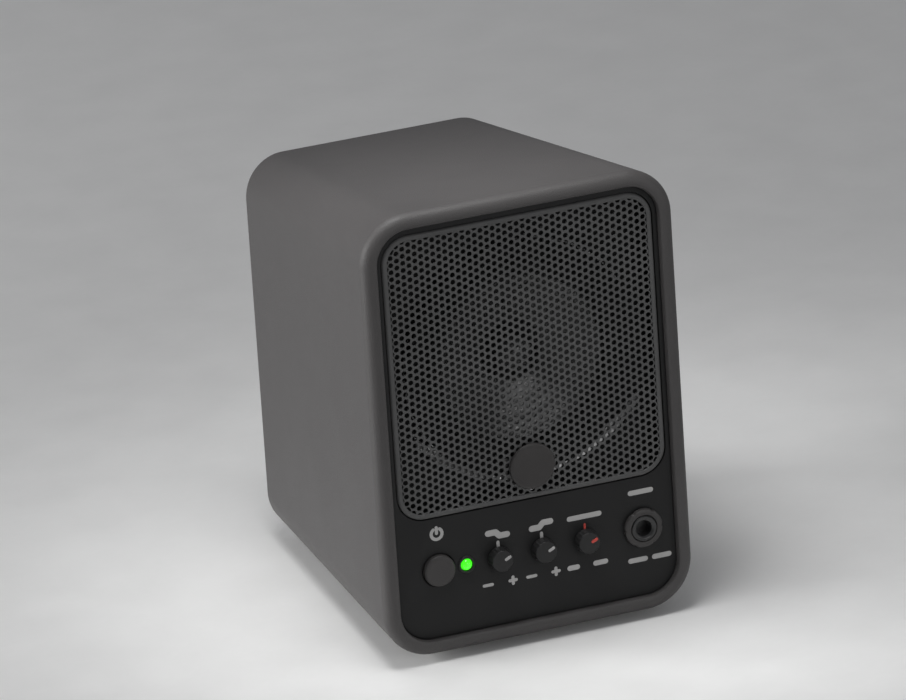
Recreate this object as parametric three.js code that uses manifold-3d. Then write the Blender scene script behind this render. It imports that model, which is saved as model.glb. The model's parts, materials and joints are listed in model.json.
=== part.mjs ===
// A compact powered monitor loudspeaker: a tapered one-piece cabinet with a recessed baffle, a 100 mm
// full-range driver behind a formed steel grille, a row of controls under it, and an amplifier that is
// carried by the rear panel.
//
// Units are millimetres. X runs left to right as a listener sees the front, Y runs from front to back and
// Z runs up. The origin is on the surface that the feet stand on, under the middle of the bounding box.
// Inside the cabinet group, Y is the depth behind the cabinet's front edge and Z is the height above its
// underside.

import * as THREE from 'three';
import { mergeVertices } from 'three/addons/utils/BufferGeometryUtils.js';
import Module from 'manifold-3d';

const wasm = await Module();
wasm.setup();

// ---------------------------------------------------------------- driving dimensions

const CABINET_WIDTH = 131;
const CABINET_HEIGHT = 184;
const CABINET_DEPTH = 160;
const REAR_WIDTH_SHARE = 0.83; // of the front's width
const REAR_HEIGHT_SHARE = 0.87; // of the front's height: the top slopes down, the floor is level
const CORNER_RADIUS = 20;
const EDGE_RADIUS = 5;
const WALL = 3;
const GAP = 0.3; // between pieces that touch on the real loudspeaker
const FOOT_HEIGHT = 3;
const KNOB_PROUD = 2.3; // in front of the cabinet's front edge
const FIN_PROUD = 12.3; // behind the cabinet's rear edge

const LIP_WIDTH = 6.5; // of the frame round the front opening
const LIP_DEPTH = 6;
const PANEL_FACE = 2.5; // depth of the baffle's front face
const BAFFLE_SKIN = 3;

const GRILLE_HALF_WIDTH = 56;
const GRILLE_BOTTOM = 57;
const GRILLE_TOP = 173;
const GRILLE_CORNER = 10;
const GRILLE_FACE = 2.2;
const GRILLE_SHEET = 1.2;
const POCKET_FLOOR = 9.8; // depth of the floor that the driver is fixed to

const DRIVER_Z = 114;
const FLANGE_RADIUS = 49;
const CONE_RADIUS = 34;
const SCREW_CIRCLE = 45.6;
const BADGE_Z = 70.5;
const BADGE_RADIUS = 9.4;

const CONTROL_Z = 34.8;
const BUTTON_X = -41.3;
const LED_X = -29.7;
const KNOBS = [['low', -16], ['high', 2.4], ['volume', 20.7]];
const JACK_X = 45;
const JACK_RISE = 0.5; // above the other controls
const BOARD_FRONT = 16;
const BOARD_THICKNESS = 1.6;

const REAR_FACE = CABINET_DEPTH - 0.4; // depth of the rear panel's outer face
const REAR_PANEL = 2;
const REAR_SCREWS = [[-45, 10.2], [45, 10.2], [-45, 149.9], [45, 149.9]];
const AMPLIFIER_Z = 100;
const AMPLIFIER_HALF = [40, 25]; // half width and half height of the amplifier board
const AMPLIFIER_FRONT = REAR_FACE - 17.6;
const STANDOFF_END = AMPLIFIER_FRONT + BOARD_THICKNESS + GAP;
const INLET_Z = 27;
const LINE_JACK = [28, 60];

const TRANSFORMER_DEPTH = 114;
const INSERT_DEPTH = 66; // of the stand thread, near the centre of gravity
const FEET = [
  ['front_left', -37, 20],
  ['front_right', 37, 20],
  ['rear_left', -31, 140],
  ['rear_right', 31, 140],
];

// ---------------------------------------------------------------- materials

const finish = (color, roughness, metalness = 0) => new THREE.MeshStandardMaterial({ color, roughness, metalness });

const MATERIALS = {
  cabinet: finish(0x5f5d5d, 0.55),
  baffle: finish(0x2a2b2b, 0.6),
  grille: finish(0x2e2f2f, 0.45, 0.6),
  badge: finish(0x4c4948, 0.4, 0.4),
  knob: finish(0x1b1b1c, 0.5),
  button: finish(0x4a4949, 0.6),
  rubber: finish(0x151515, 0.9),
  paper: finish(0x26262a, 0.9),
  lens: finish(0x43e020, 0.2),
  steel: finish(0x9a9c9e, 0.35, 1),
  zinc: finish(0xb4b6b2, 0.4, 1),
  aluminium: finish(0x2b2b2c, 0.5, 0.8),
  ferrite: finish(0x2f2d2c, 0.8),
  copper: finish(0xb06a3a, 0.35, 1),
  board: finish(0x1d4a2c, 0.6),
  plastic: finish(0x141416, 0.5),
  red: finish(0x9a1c18, 0.5),
  wadding: finish(0xd8d6cf, 1),
};

// ---------------------------------------------------------------- solid helpers

function toSolid(geometry) {
  const loose = geometry.index ? geometry.toNonIndexed() : geometry;
  const bare = new THREE.BufferGeometry().setAttribute('position', loose.getAttribute('position'));
  const merged = mergeVertices(bare, 1e-3);
  return new wasm.Manifold(new wasm.Mesh({
    numProp: 3,
    vertProperties: merged.attributes.position.array,
    triVerts: new Uint32Array(merged.index.array),
  }));
}

function toGeometry(solid) {
  const mesh = solid.getMesh();
  const geometry = new THREE.BufferGeometry();
  geometry.setAttribute('position', new THREE.BufferAttribute(new Float32Array(mesh.vertProperties), 3));
  geometry.setIndex(new THREE.BufferAttribute(new Uint32Array(mesh.triVerts), 1));
  geometry.computeVertexNormals();
  return geometry;
}

function join(...geometries) {
  return toGeometry(geometries.map(toSolid).reduce((all, next) => all.add(next)));
}

function cut(base, ...tools) {
  return toGeometry(tools.map(toSolid).reduce((left, tool) => left.subtract(tool), toSolid(base)));
}

function box([x0, x1], [y0, y1], [z0, z1]) {
  const geometry = new THREE.BoxGeometry(x1 - x0, y1 - y0, z1 - z0);
  return geometry.translate((x0 + x1) / 2, (y0 + y1) / 2, (z0 + z1) / 2);
}

// A round bar along Y.
function rod(radius, front, back, x = 0, z = 0, sides = 24) {
  const geometry = new THREE.CylinderGeometry(radius, radius, back - front, sides);
  return geometry.translate(x, (front + back) / 2, z);
}

// Turns a closed outline of [radius, depth] points about Y. An outline that starts and ends on the axis
// closes along it.
function turned(outline, sides = 32) {
  const points = outline.map(([radius, depth]) => new THREE.Vector2(radius, depth));
  if (THREE.ShapeUtils.area(points) < 0) points.reverse();
  if (points[0].x > 0) points.push(points[0].clone());
  return new THREE.LatheGeometry(points, sides);
}

// Points [radius, depth] along an arc of a profile, angles in degrees.
function arcPoints(centreRadius, centreDepth, radius, from, to, steps) {
  return Array.from({ length: steps + 1 }, (_, i) => {
    const angle = THREE.MathUtils.degToRad(from + ((to - from) * i) / steps);
    return [centreRadius + radius * Math.cos(angle), centreDepth + radius * Math.sin(angle)];
  });
}

// A rounded rectangle in the X-Z plane, between two heights.
function roundedRect(halfWidth, bottom, top, radius) {
  const right = halfWidth - radius;
  const shape = new THREE.Shape();
  shape.moveTo(-right, bottom);
  shape.lineTo(right, bottom);
  shape.absarc(right, bottom + radius, radius, -Math.PI / 2, 0);
  shape.lineTo(halfWidth, top - radius);
  shape.absarc(right, top - radius, radius, 0, Math.PI / 2);
  shape.lineTo(-right, top);
  shape.absarc(-right, top - radius, radius, Math.PI / 2, Math.PI);
  shape.lineTo(-halfWidth, bottom + radius);
  shape.absarc(-right, bottom + radius, radius, Math.PI, 1.5 * Math.PI);
  return shape;
}

// Extrudes an X-Z outline along Y between two depths.
function slab(shape, front, back, curveSegments = 6) {
  const options = { depth: back - front, bevelEnabled: false, curveSegments };
  return new THREE.ExtrudeGeometry(shape, options).rotateX(Math.PI / 2).translate(0, back, 0);
}

// Shrinks a solid towards the back as the cabinet shrinks, about the middle of its floor.
function taper(geometry) {
  const position = geometry.getAttribute('position');
  for (let i = 0; i < position.count; i += 1) {
    const share = position.getY(i) / CABINET_DEPTH;
    position.setX(i, position.getX(i) * (1 - share * (1 - REAR_WIDTH_SHARE)));
    position.setZ(i, position.getZ(i) * (1 - share * (1 - REAR_HEIGHT_SHARE)));
  }
  return geometry;
}

// The cabinet's section, moved in by a distance, as a tapered block between two depths.
function taperedBlock(inset, front, back) {
  const shape = roundedRect(
    CABINET_WIDTH / 2 - inset,
    inset,
    CABINET_HEIGHT - inset,
    CORNER_RADIUS - inset,
  );
  return taper(slab(shape, front, back, 8));
}

// A pan-head screw along Y with a cross recess. Its head is at the front and its shank runs back.
function screw(headRadius, headHeight, shankRadius, length) {
  const body = turned([
    [0, 0],
    [headRadius * 0.7, 0],
    [headRadius, headHeight * 0.5],
    [headRadius, headHeight],
    [shankRadius, headHeight],
    [shankRadius, length - shankRadius],
    [0, length],
  ], 12);
  const slot = headRadius * 0.55;
  const thickness = headRadius * 0.11;
  const depth = [-1, headHeight * 0.6];
  return cut(
    body,
    box([-slot, slot], depth, [-thickness, thickness]),
    box([-thickness, thickness], depth, [-slot, slot]),
  );
}

// A tube or strip along a curve: an outline extruded along it.
function alongCurve(points, outline, steps) {
  const curve = new THREE.CatmullRomCurve3(points.map((p) => new THREE.Vector3(...p)));
  return new THREE.ExtrudeGeometry(outline, { steps, extrudePath: curve, curveSegments: 2 });
}

// ---------------------------------------------------------------- scene graph

const FRONT_Y = -(CABINET_DEPTH + FIN_PROUD - KNOB_PROUD) / 2;

const monitor = new THREE.Group();
const cabinet = new THREE.Group();
cabinet.position.set(0, FRONT_Y, FOOT_HEIGHT);
monitor.add(cabinet);

const driver = new THREE.Group();
driver.position.z = DRIVER_Z;
cabinet.add(driver);

function add(name, geometry, material, parent = cabinet) {
  const mesh = new THREE.Mesh(geometry, MATERIALS[material]);
  mesh.name = name;
  parent.add(mesh);
  return mesh;
}

// ---------------------------------------------------------------- cabinet, baffle and grille

function cabinetShell() {
  const section = roundedRect(CABINET_WIDTH / 2, 0, CABINET_HEIGHT, CORNER_RADIUS);
  const rounded = new THREE.ExtrudeGeometry(section, {
    depth: CABINET_DEPTH,
    bevelThickness: EDGE_RADIUS,
    bevelSize: EDGE_RADIUS,
    bevelOffset: -EDGE_RADIUS,
    bevelSegments: 4,
    curveSegments: 8,
  });
  rounded.rotateX(Math.PI / 2).translate(0, CABINET_DEPTH + EDGE_RADIUS, 0);
  const beyondRear = box([-100, 100], [CABINET_DEPTH, CABINET_DEPTH + 20], [-20, 220]);
  const opening = roundedRect(
    CABINET_WIDTH / 2 - LIP_WIDTH,
    LIP_WIDTH,
    CABINET_HEIGHT - LIP_WIDTH,
    CORNER_RADIUS - LIP_WIDTH,
  );
  const hollow = cut(
    taper(rounded),
    beyondRear,
    taperedBlock(WALL, LIP_DEPTH, CABINET_DEPTH + 1),
    slab(opening, -1, LIP_DEPTH + 1),
    new THREE.CylinderGeometry(8.3, 8.3, 20, 24).rotateX(Math.PI / 2).translate(0, INSERT_DEPTH, 0),
  );
  const bossEnd = REAR_FACE - REAR_PANEL - GAP;
  const bosses = REAR_SCREWS.map(([x, z]) => rod(5.2, bossEnd - 20, bossEnd, x, z, 16));
  const pilots = REAR_SCREWS.map(([x, z]) => rod(1.65, bossEnd - 14, bossEnd + 1, x, z, 12));
  return cut(join(hollow, ...bosses), ...pilots);
}

function frontBaffle() {
  const inset = LIP_WIDTH + GAP;
  const faceShape = roundedRect(
    CABINET_WIDTH / 2 - inset,
    inset,
    CABINET_HEIGHT - inset,
    CORNER_RADIUS - inset,
  );
  const raised = slab(faceShape, PANEL_FACE, POCKET_FLOOR + BAFFLE_SKIN);
  const flangeShape = roundedRect(
    CABINET_WIDTH / 2 - 4.2,
    4.2,
    CABINET_HEIGHT - 6.4,
    CORNER_RADIUS - 5,
  );
  const flange = slab(flangeShape, LIP_DEPTH + GAP, LIP_DEPTH + GAP + BAFFLE_SKIN);
  const pocket = slab(
    roundedRect(GRILLE_HALF_WIDTH + GAP, GRILLE_BOTTOM - GAP, GRILLE_TOP + GAP, GRILLE_CORNER + GAP),
    -1,
    POCKET_FLOOR,
  );
  const controlBay = slab(roundedRect(54, 10, 54, 6), PANEL_FACE + BAFFLE_SKIN, 20);
  const screwHoles = driverScrewPlaces().map(([x, z]) => rod(1.4, 0, 20, x, DRIVER_Z + z, 12));
  return cut(
    join(raised, flange),
    pocket,
    controlBay,
    rod(41.5, 0, 20, 0, DRIVER_Z, 40),
    ...screwHoles,
    rod(6.8, 0, 9, BUTTON_X, CONTROL_Z),
    rod(2.75, 0, 9, LED_X, CONTROL_Z, 16),
    ...KNOBS.map(([, x]) => rod(3.4, 0, 9, x, CONTROL_Z, 16)),
    rod(5.6, 0, 9, JACK_X, CONTROL_Z + JACK_RISE),
  );
}

// The grille is a tray: a flat face with its edge turned back into the baffle's pocket.
function speakerGrille() {
  const tray = slab(
    roundedRect(GRILLE_HALF_WIDTH, GRILLE_BOTTOM, GRILLE_TOP, GRILLE_CORNER),
    GRILLE_FACE,
    GRILLE_FACE + 5.5,
  );
  const inside = slab(
    roundedRect(
      GRILLE_HALF_WIDTH - GRILLE_SHEET,
      GRILLE_BOTTOM + GRILLE_SHEET,
      GRILLE_TOP - GRILLE_SHEET,
      GRILLE_CORNER - GRILLE_SHEET,
    ),
    GRILLE_FACE + GRILLE_SHEET,
    10,
  );
  return cut(tray, inside);
}

function grilleBadge() {
  return rod(BADGE_RADIUS, GRILLE_FACE - GAP - 1.3, GRILLE_FACE - GAP, 0, BADGE_Z, 40);
}

add('cabinet_shell', cabinetShell(), 'cabinet');
add('front_baffle', frontBaffle(), 'baffle');
add('speaker_grille', speakerGrille(), 'grille');
add('grille_badge', grilleBadge(), 'badge');

// ---------------------------------------------------------------- driver

function driverScrewPlaces() {
  return [45, 135, 225, 315].map((degrees) => {
    const angle = THREE.MathUtils.degToRad(degrees);
    return [SCREW_CIRCLE * Math.cos(angle), SCREW_CIRCLE * Math.sin(angle)];
  });
}

// The ring covers the driver's flange. Below it, a crescent curves up to both sides, and a collar backs
// the badge. The crescent lies between two arcs and is widest in the middle.
function trimRing() {
  const front = 3.9;
  const back = 6.2;
  const ring = rod(48.4, front, back, 0, 0, 56);
  const crescentHalfWidth = 47;
  const lowerArc = { radius: 60.5, z: 11.3 };
  const upperArc = { radius: 63.5, z: 19.5 };
  const steps = 20;
  const along = ({ radius, z }, direction) => Array.from({ length: steps + 1 }, (_, i) => {
    const x = direction * crescentHalfWidth * (1 - (2 * i) / steps);
    return new THREE.Vector2(x, z - Math.sqrt(radius * radius - x * x));
  });
  const crescent = slab(new THREE.Shape([...along(lowerArc, -1), ...along(upperArc, 1)]), front, back);
  const collar = rod(BADGE_RADIUS + 1.8, front, back, 0, BADGE_Z - DRIVER_Z, 32);
  const opening = rod(40.6, 0, 10, 0, 0, 48);
  const headRooms = driverScrewPlaces().map(([x, z]) => rod(2.9, 5.3, 10, x, z, 16));
  return cut(join(ring, crescent, collar), opening, ...headRooms);
}

function basket() {
  const frame = turned([
    [39.6, 7.3],
    [FLANGE_RADIUS, 7.3],
    [FLANGE_RADIUS, 8.5],
    [41, 8.5],
    [29, 27.4],
    [13, 27.4],
    [13, 26.2],
    [28.2, 26.2],
    [39.6, 8.5],
  ], 36);
  const windows = [
    box([-60, 60], [11.5, 23.5], [-13, 13]),
    box([-13, 13], [11.5, 23.5], [-60, 60]),
  ];
  const holes = driverScrewPlaces().map(([x, z]) => rod(1.9, 5, 10, x, z, 12));
  return cut(frame, ...windows, ...holes);
}

function gasket() {
  const ring = turned([[41.6, 8.8], [48.8, 8.8], [48.8, 9.5], [41.6, 9.5]], 40);
  const holes = driverScrewPlaces().map(([x, z]) => rod(1.9, 5, 12, x, z, 12));
  return cut(ring, ...holes);
}

// The half-roll joins the cone's rim to the frame: an inner lip, a roll that bulges forward, an outer lip.
function surround() {
  const thickness = 0.45;
  const middle = CONE_RADIUS + 3.4;
  const outerRoll = arcPoints(middle, 7, 2.3, 180, 360, 6);
  const innerRoll = arcPoints(middle, 7, 2.3 - thickness, 360, 180, 6);
  return turned([
    [CONE_RADIUS - 0.7, 7.2],
    [middle - 2.3, 7.2],
    ...outerRoll,
    [middle + 2.3, 6.5],
    [42.2, 6.5],
    [42.2, 6.95],
    [middle + 2.2, 6.95],
    ...innerRoll,
    [middle - 1.9, 7.65],
    [CONE_RADIUS - 0.7, 7.65],
  ], 36);
}

function cone() {
  const depthAt = (radius) => 15.8 - 7.8 * Math.pow((radius - 10.6) / (CONE_RADIUS - 10.6), 0.85);
  const radii = [10.6, 14, 19, 24, 29, CONE_RADIUS];
  const front = radii.map((radius) => [radius, depthAt(radius)]);
  const back = radii.map((radius) => [radius, depthAt(radius) + 0.8]).reverse();
  return turned([...front, ...back], 36);
}

function dustCap() {
  const outside = arcPoints(0, 19.3, 13, -90, -22, 6);
  const inside = arcPoints(0, 19.3, 12.4, -90, -22, 6).reverse();
  outside[0][0] = 0;
  inside[inside.length - 1][0] = 0;
  return turned([...outside, ...inside], 28);
}

// The spider's corrugations step down from the coil former to the frame's floor.
function spider() {
  const waves = 6;
  const line = Array.from({ length: waves + 1 }, (_, i) => {
    const share = i / waves;
    return [10.7 + 15 * share, 22.6 + 2.4 * share + (i % 2 ? 0.7 : 0)];
  });
  line.push([27.4, 25.2]);
  const back = line.map(([radius, depth]) => [radius, depth + 0.45]).reverse();
  return turned([...line, ...back], 36);
}

function terminalStrip() {
  const strip = box([27.8, 40], [27.7, 28.9], [-6, 6]);
  const lugs = [-3.5, 3.5].map((z) => box([39, 44], [28, 28.6], [z - 1.2, z + 1.2]));
  return join(strip, ...lugs);
}

add('driver_trim_ring', trimRing(), 'baffle', driver);
add('driver_basket', basket(), 'steel', driver);
add('driver_gasket', gasket(), 'rubber', driver);
driverScrewPlaces().forEach(([x, z], i) => {
  const mesh = add(`driver_screw_${i + 1}`, screw(2.5, 1.4, 1.2, 8), 'zinc', driver);
  mesh.position.set(x, 5.6, z);
});
add('driver_cone', cone(), 'paper', driver);
add('driver_dust_cap', dustCap(), 'paper', driver);
add('driver_surround', surround(), 'rubber', driver);
add('driver_spider', spider(), 'paper', driver);
add('voice_coil', turned([[9.75, 17], [10.2, 17], [10.2, 36], [9.75, 36]]), 'copper', driver);
add('driver_top_plate', turned([[10.7, 27.7], [27, 27.7], [27, 31.7], [10.7, 31.7]]), 'zinc', driver);
add('driver_magnet', turned([[13.5, 32], [31, 32], [31, 42], [13.5, 42]]), 'ferrite', driver);
add(
  'driver_yoke',
  turned([[0, 27.7], [9.3, 27.7], [9.3, 42.3], [26, 42.3], [27, 43.3], [27, 46.3], [0, 46.3]]),
  'zinc',
  driver,
);
add('driver_terminal', terminalStrip(), 'plastic', driver);

// ---------------------------------------------------------------- controls

function powerButton() {
  return turned([
    [0, 0.7],
    [4.6, 0.4],
    [6, 0.6],
    [6.5, 1.4],
    [6.5, 5.8],
    [7.6, 5.8],
    [7.6, 6.8],
    [1.6, 6.8],
    [1.6, 12.5],
    [0, 12.5],
  ]);
}

function powerSwitch() {
  return cut(box([-6, 6], [10, BOARD_FRONT - GAP], [-6, 6]), rod(2, 9, 15.2, 0, 0, 16));
}

function knob() {
  return turned([
    [0, -KNOB_PROUD],
    [4.1, -KNOB_PROUD],
    [4.5, -KNOB_PROUD + 0.5],
    [4.8, PANEL_FACE - GAP],
    [3.35, PANEL_FACE - GAP],
    [3.35, -0.9],
    [0, -0.9],
  ]);
}

function potentiometer() {
  const body = box([-4.8, 4.8], [9, BOARD_FRONT - GAP], [-5.5, 5.5]);
  const collar = rod(4, 7, 9.5, 0, 0, 20);
  return cut(join(body, collar), rod(3.25, 6, 14.5, 0, 0, 20));
}

// A quarter-inch socket. Its threaded nose passes through a panel and its body holds the contacts.
function jackBody(panelBack) {
  const nose = rod(5.2, 0.2, panelBack + 1);
  const body = box([-8, 8], [panelBack + GAP, panelBack + 21], [-9, 9]);
  return cut(join(nose, body), rod(3.25, -1, panelBack + 19, 0, 0, 20));
}

function jackNut(front, back) {
  return turned([
    [5.4, front + 0.3],
    [5.8, front],
    [7.3, front],
    [8, front + 0.8],
    [8, back],
    [5.4, back],
  ], 24);
}

function controlBoard() {
  const board = slab(roundedRect(43, 15, 53, 2), BOARD_FRONT, BOARD_FRONT + BOARD_THICKNESS);
  return board.translate(-9.5, 0, 0);
}

const controls = new THREE.Group();
controls.position.z = CONTROL_Z;
cabinet.add(controls);

add('power_button', powerButton(), 'button', controls).position.x = BUTTON_X;
add('power_switch', powerSwitch(), 'plastic', controls).position.x = BUTTON_X;

const ledOutline = [[0, 1], [1.3, 1.3], [2.2, 2.1], [2.45, 3.2], [2.45, BOARD_FRONT - GAP], [0, BOARD_FRONT - GAP]];
add('power_led', turned(ledOutline, 20), 'lens', controls).position.x = LED_X;

KNOBS.forEach(([name, x]) => {
  add(`${name}_knob`, knob(), 'knob', controls).position.x = x;
  add(`${name}_shaft`, rod(3, -0.6, 14, 0, 0, 20), 'steel', controls).position.x = x;
  add(`${name}_potentiometer`, potentiometer(), 'steel', controls).position.x = x;
});

add('input_jack', jackBody(PANEL_FACE + BAFFLE_SKIN), 'plastic', controls).position.set(JACK_X, 0, JACK_RISE);
add('input_jack_nut', jackNut(0.5, PANEL_FACE - GAP), 'button', controls).position.set(JACK_X, 0, JACK_RISE);
add('control_board', controlBoard(), 'board');

// ---------------------------------------------------------------- rear panel and what is fixed to it

function rearPanel() {
  const plate = taperedBlock(WALL + 0.4, REAR_FACE - REAR_PANEL, REAR_FACE);
  const standoffPlaces = [[-36, -21], [36, -21], [-36, 21], [36, 21]];
  const standoffs = standoffPlaces.map(([x, z]) => (
    rod(2.6, STANDOFF_END, REAR_FACE - 1, x, AMPLIFIER_Z + z, 12)
  ));
  return cut(
    join(plate, ...standoffs),
    ...REAR_SCREWS.map(([x, z]) => rod(1.9, REAR_FACE - 5, REAR_FACE + 5, x, z, 12)),
    box([-15.5, 15.5], [REAR_FACE - 5, REAR_FACE + 5], [INLET_Z - 16.5, INLET_Z + 16.5]),
    rod(5.5, REAR_FACE - 5, REAR_FACE + 5, ...LINE_JACK),
  );
}

function heatsink() {
  const base = 3;
  const fins = 10;
  const halfWidth = 38;
  const pitch = (2 * halfWidth - 2) / (fins - 1);
  const front = REAR_FACE + GAP;
  const tip = CABINET_DEPTH + FIN_PROUD;
  const profile = new THREE.Shape();
  profile.moveTo(-halfWidth, -front);
  for (let i = 0; i < fins; i += 1) {
    const x = -halfWidth + i * pitch;
    if (i > 0) profile.lineTo(x, -(front + base));
    profile.lineTo(x, -tip);
    profile.lineTo(x + 2, -tip);
    profile.lineTo(x + 2, i < fins - 1 ? -(front + base) : -front);
  }
  // The comb outline holds X and minus Y, so that extruding it and turning it over leaves it standing up.
  const comb = new THREE.ExtrudeGeometry(profile, { depth: 50, bevelEnabled: false });
  return comb.rotateX(Math.PI).translate(0, 0, AMPLIFIER_Z + 25);
}

// A three-blade appliance inlet with a drawer for the fuse above it, in one housing.
function mainsInlet() {
  const flange = slab(roundedRect(24, INLET_Z - 18, INLET_Z + 18, 4), REAR_FACE + GAP, REAR_FACE + 3);
  const body = box([-15, 15], [REAR_FACE - 24, REAR_FACE + 2], [INLET_Z - 16, INLET_Z + 16]);
  const socket = slab(roundedRect(12.2, INLET_Z - 13.2, INLET_Z + 3.5, 3), REAR_FACE - 14, REAR_FACE + 5);
  const drawerBay = box([-12, 12], [REAR_FACE - 17, REAR_FACE + 5], [INLET_Z + 6.5, INLET_Z + 13.9]);
  const blade = (x, z) => box([x - 1, x + 1], [REAR_FACE - 15, REAR_FACE], [z - 2, z + 2]);
  const blades = [blade(-7, INLET_Z - 6.5), blade(7, INLET_Z - 6.5), blade(0, INLET_Z - 1.6)];
  return join(cut(join(flange, body), socket, drawerBay), ...blades);
}

function fuseDrawer() {
  const tray = box([-11.6, 11.6], [REAR_FACE - 16, REAR_FACE + 3.3], [INLET_Z + 6.9, INLET_Z + 13.5]);
  const pull = box([-12.4, 12.4], [REAR_FACE + 3.3, REAR_FACE + 4.8], [INLET_Z + 6.2, INLET_Z + 14.2]);
  const cradle = box([-10.4, 10.4], [REAR_FACE - 14, REAR_FACE - 6], [INLET_Z + 7.8, INLET_Z + 20]);
  return cut(join(tray, pull), cradle);
}

// The coil stands in the core's two windows and shows on both faces.
function transformerCore() {
  const core = box([-24, 24], [-9, 9], [0, 40]);
  const feet = box([-30, 30], [-9, 9], [0, 1.6]);
  const windows = [-12, 12].map((x) => box([x - 4, x + 4], [-20, 20], [8, 32]));
  return cut(join(core, feet), ...windows);
}

function transformerWindings() {
  return cut(box([-15.7, 15.7], [-16, 16], [8.3, 31.7]), box([-8.3, 8.3], [-9.3, 9.3], [0, 40]));
}

function amplifierChip() {
  const back = REAR_FACE - REAR_PANEL - GAP;
  const body = box([-10, 10], [back - 4.8, back], [AMPLIFIER_Z - 4, AMPLIFIER_Z + 14]);
  const leads = box([-8, 8], [STANDOFF_END, back - 3], [AMPLIFIER_Z - 5, AMPLIFIER_Z - 3.5]);
  return join(body, leads);
}

add('rear_panel', rearPanel(), 'aluminium');
REAR_SCREWS.forEach(([x, z], i) => {
  const mesh = add(`rear_screw_${i + 1}`, screw(3.2, 1.9, 1.5, 12), 'zinc');
  mesh.rotation.z = Math.PI;
  mesh.position.set(x, REAR_FACE + GAP + 1.9, z);
});
add('heatsink', heatsink(), 'aluminium');
add('mains_inlet', mainsInlet(), 'plastic');
add('fuse_drawer', fuseDrawer(), 'plastic');

const lineJack = new THREE.Group();
lineJack.position.set(LINE_JACK[0], REAR_FACE + 2.5, LINE_JACK[1]);
lineJack.rotation.z = Math.PI;
cabinet.add(lineJack);
add('line_jack', jackBody(2.5 + REAR_PANEL), 'plastic', lineJack);
add('line_jack_nut', jackNut(0.5, 2.5 - GAP), 'button', lineJack);

add('transformer_core', transformerCore(), 'steel').position.set(0, TRANSFORMER_DEPTH, WALL);
add('transformer_windings', transformerWindings(), 'copper').position.set(0, TRANSFORMER_DEPTH, WALL);

const [boardX, boardZ] = AMPLIFIER_HALF;
add(
  'amplifier_board',
  box([-boardX, boardX], [AMPLIFIER_FRONT, AMPLIFIER_FRONT + BOARD_THICKNESS], [AMPLIFIER_Z - boardZ, AMPLIFIER_Z + boardZ]),
  'board',
);
add('amplifier_chip', amplifierChip(), 'plastic');
[-24, -2].forEach((x, i) => {
  const can = rod(9, AMPLIFIER_FRONT - GAP - 26, AMPLIFIER_FRONT - GAP, x, AMPLIFIER_Z - 6);
  add(`filter_capacitor_${i + 1}`, can, 'plastic');
});

// ---------------------------------------------------------------- wiring and wadding

const wire = new THREE.Shape().absarc(0, 0, 1.1, 0, 2 * Math.PI);
[['red', 3.5, 106], ['black', -3.5, 90]].forEach(([colour, offset, boardHeight]) => {
  const start = DRIVER_Z + offset;
  const route = [
    [44.4, 28.3, start],
    [47.5, 29.5, start],
    [49.5, 38, start - 1],
    [49, 62, start - 4],
    [46, 96, (start + boardHeight) / 2],
    [38, AMPLIFIER_FRONT - 12, boardHeight],
    [36, AMPLIFIER_FRONT - 1, boardHeight],
  ];
  add(`speaker_lead_${colour}`, alongCurve(route, wire, 28), colour === 'red' ? 'red' : 'plastic');
});

// A flat cable that runs from the control board along the cabinet's side and up to the amplifier board.
function ribbonCable() {
  const route = new THREE.SplineCurve([
    new THREE.Vector2(18.2, 47),
    new THREE.Vector2(24, 49),
    new THREE.Vector2(60, 52),
    new THREE.Vector2(AMPLIFIER_FRONT - 24, 54),
    new THREE.Vector2(AMPLIFIER_FRONT - 10, 62),
    new THREE.Vector2(AMPLIFIER_FRONT - 1.5, 84),
  ]);
  const steps = 20;
  const sides = [0.45, -0.45].map((offset) => Array.from({ length: steps + 1 }, (_, i) => {
    const point = route.getPoint(i / steps);
    const along = route.getTangent(i / steps);
    return new THREE.Vector2(point.x - along.y * offset, point.y + along.x * offset);
  }));
  const outline = new THREE.Shape([...sides[0], ...sides[1].reverse()]);
  const strip = new THREE.ExtrudeGeometry(outline, { depth: 14, bevelEnabled: false });
  // The outline holds depth and height; turning it puts the extrusion along X.
  return strip.applyMatrix4(new THREE.Matrix4().set(
    0, 0, 1, -47,
    1, 0, 0, 0,
    0, 1, 0, 0,
    0, 0, 0, 1,
  ));
}

add('ribbon_cable', ribbonCable(), 'plastic');
add('acoustic_wadding', slab(roundedRect(40, 62, 150, 8), 58, 93, 3), 'wadding');

// ---------------------------------------------------------------- feet and stand thread

// A flanged bush with a stand thread. Its mouth is flush with the cabinet's underside.
function standInsert() {
  const bush = turned([[4.6, 0], [8, 0], [8, 3.3], [13, 3.3], [13, 5.3], [8, 5.3], [8, 12], [4.6, 12]], 32);
  const plug = rod(5, 10.5, 12, 0, 0, 32);
  return join(bush, plug).rotateX(Math.PI / 2);
}

const rubberFoot = () => turned([[0, 0], [6.4, 0], [7, 0.6], [7, 2.7], [0, 2.7]], 24).rotateX(Math.PI / 2);

add('stand_insert', standInsert(), 'steel').position.set(0, INSERT_DEPTH, 0);
FEET.forEach(([place, x, y]) => {
  add(`foot_${place}`, rubberFoot(), 'rubber').position.set(x, y, -FOOT_HEIGHT);
});

export default monitor;
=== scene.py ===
"""Looks for the compact powered monitor loudspeaker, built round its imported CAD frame.

Lengths in this file are millimetres in the cabinet's own frame, as in the CAD source: X to the
right as seen from the front, D the depth behind the cabinet's front edge, H the height above its
underside. at() turns such a point into metres in the row frame. Lamps, grain sizes and the
camera's distances are in metres.
"""

import json
import math
import random

import bmesh
import bpy
from mathutils import Matrix, Vector


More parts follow.
